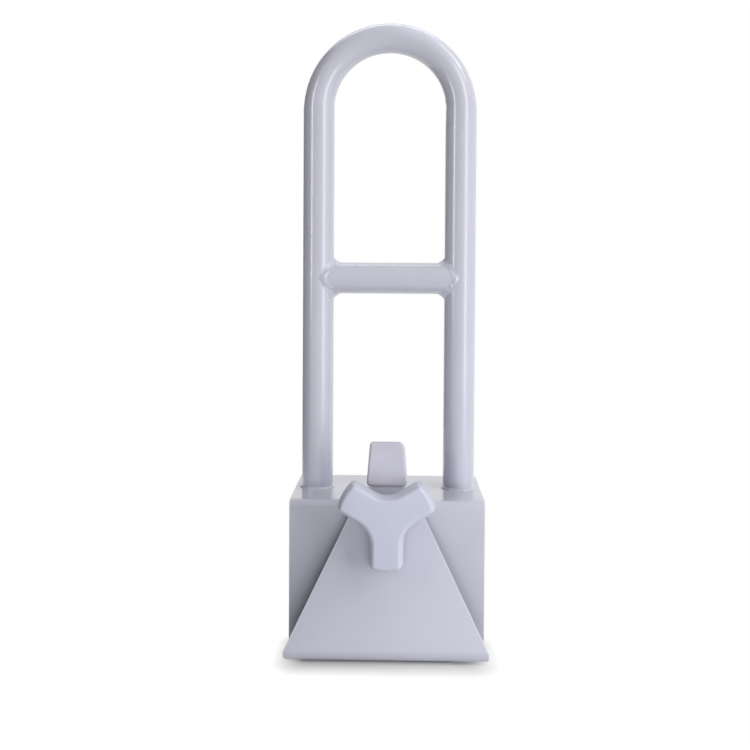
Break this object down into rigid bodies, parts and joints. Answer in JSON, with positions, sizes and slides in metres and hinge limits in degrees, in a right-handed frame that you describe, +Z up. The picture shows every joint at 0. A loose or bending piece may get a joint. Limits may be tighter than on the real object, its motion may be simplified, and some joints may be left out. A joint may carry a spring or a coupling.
{
  "type": "bathtub safety rail",
  "caption": "Clamp-on bathtub grab rail: an arched tube on a folded saddle, with a lobed knob that closes a hinged clamp plate on the tub wall.",
  "frame": {"origin": "on the underside of the rim pad, the face that rests on the tub rim, midway between the legs", "axes": "+Z up along the legs, +X to the right seen from the knob's side, the knob faces -Y"},
  "size_m": [0.153, 0.147, 0.493],
  "materials": {
    "frame_paint": "semi-gloss powder coat, fine orange peel",
    "knob_plastic": "satin moulded",
    "cap_vinyl": "matte soft vinyl",
    "pad_rubber": "matte",
    "zinc_steel": "zinc plated",
    "insert_brass": "turned",
    "plug_plastic": "moulded"
  },
  "bodies": {
    "frame": {"rail_tube": "frame_paint", "crossbar": "frame_paint", "crossbar_weld_left": "frame_paint", "crossbar_weld_right": "frame_paint", "leg_weld_left": "frame_paint", "leg_weld_right": "frame_paint", "leg_end_plug_left": "plug_plastic", "leg_end_plug_right": "plug_plastic", "saddle": "frame_paint", "nut_block": "zinc_steel", "hinge_lug_left": "frame_paint", "hinge_lug_right": "frame_paint", "hinge_pin": "zinc_steel", "hinge_pin_clip": "zinc_steel", "rim_pad": "pad_rubber", "back_pad_left": "pad_rubber", "back_pad_right": "pad_rubber", "back_pad_rivet_1": "zinc_steel", "back_pad_rivet_2": "zinc_steel", "back_pad_rivet_3": "zinc_steel", "back_pad_rivet_4": "zinc_steel"},
    "plate": {"clamp_plate": "frame_paint", "plate_knuckle": "frame_paint", "tongue_cap": "cap_vinyl", "toe_pad": "pad_rubber"},
    "washers": {"front_washer": "zinc_steel", "rear_washer": "zinc_steel", "retaining_ring": "zinc_steel"},
    "knob": {"threaded_rod": "zinc_steel", "knob_body": "knob_plastic", "knob_insert": "insert_brass"}
  },
  "joints": [
    {"name": "plate_swing", "type": "hinge", "parent": "frame", "child": "plate", "pos_m": [0, -0.054, 0.025], "axis": [1, 0, 0], "range_deg": [0, 11]},
    {"name": "screw_travel", "type": "slide", "parent": "frame", "child": "washers", "axis": [0, 0.9962, -0.0872], "range_m": [0, 0.00322]},
    {"name": "knob_turn", "type": "hinge", "parent": "washers", "child": "knob", "pos_m": [0, -0.06296, 0.00918], "axis": [0, 0.9962, -0.0872], "range_deg": [0, 926]}
  ],
  "couplings": [
    {"joint": "screw_travel", "follows": "knob_turn", "m_per_rad": 0.00019894},
    {"joint": "plate_swing", "follows": "knob_turn", "ratio": 0.011879}
  ]
}
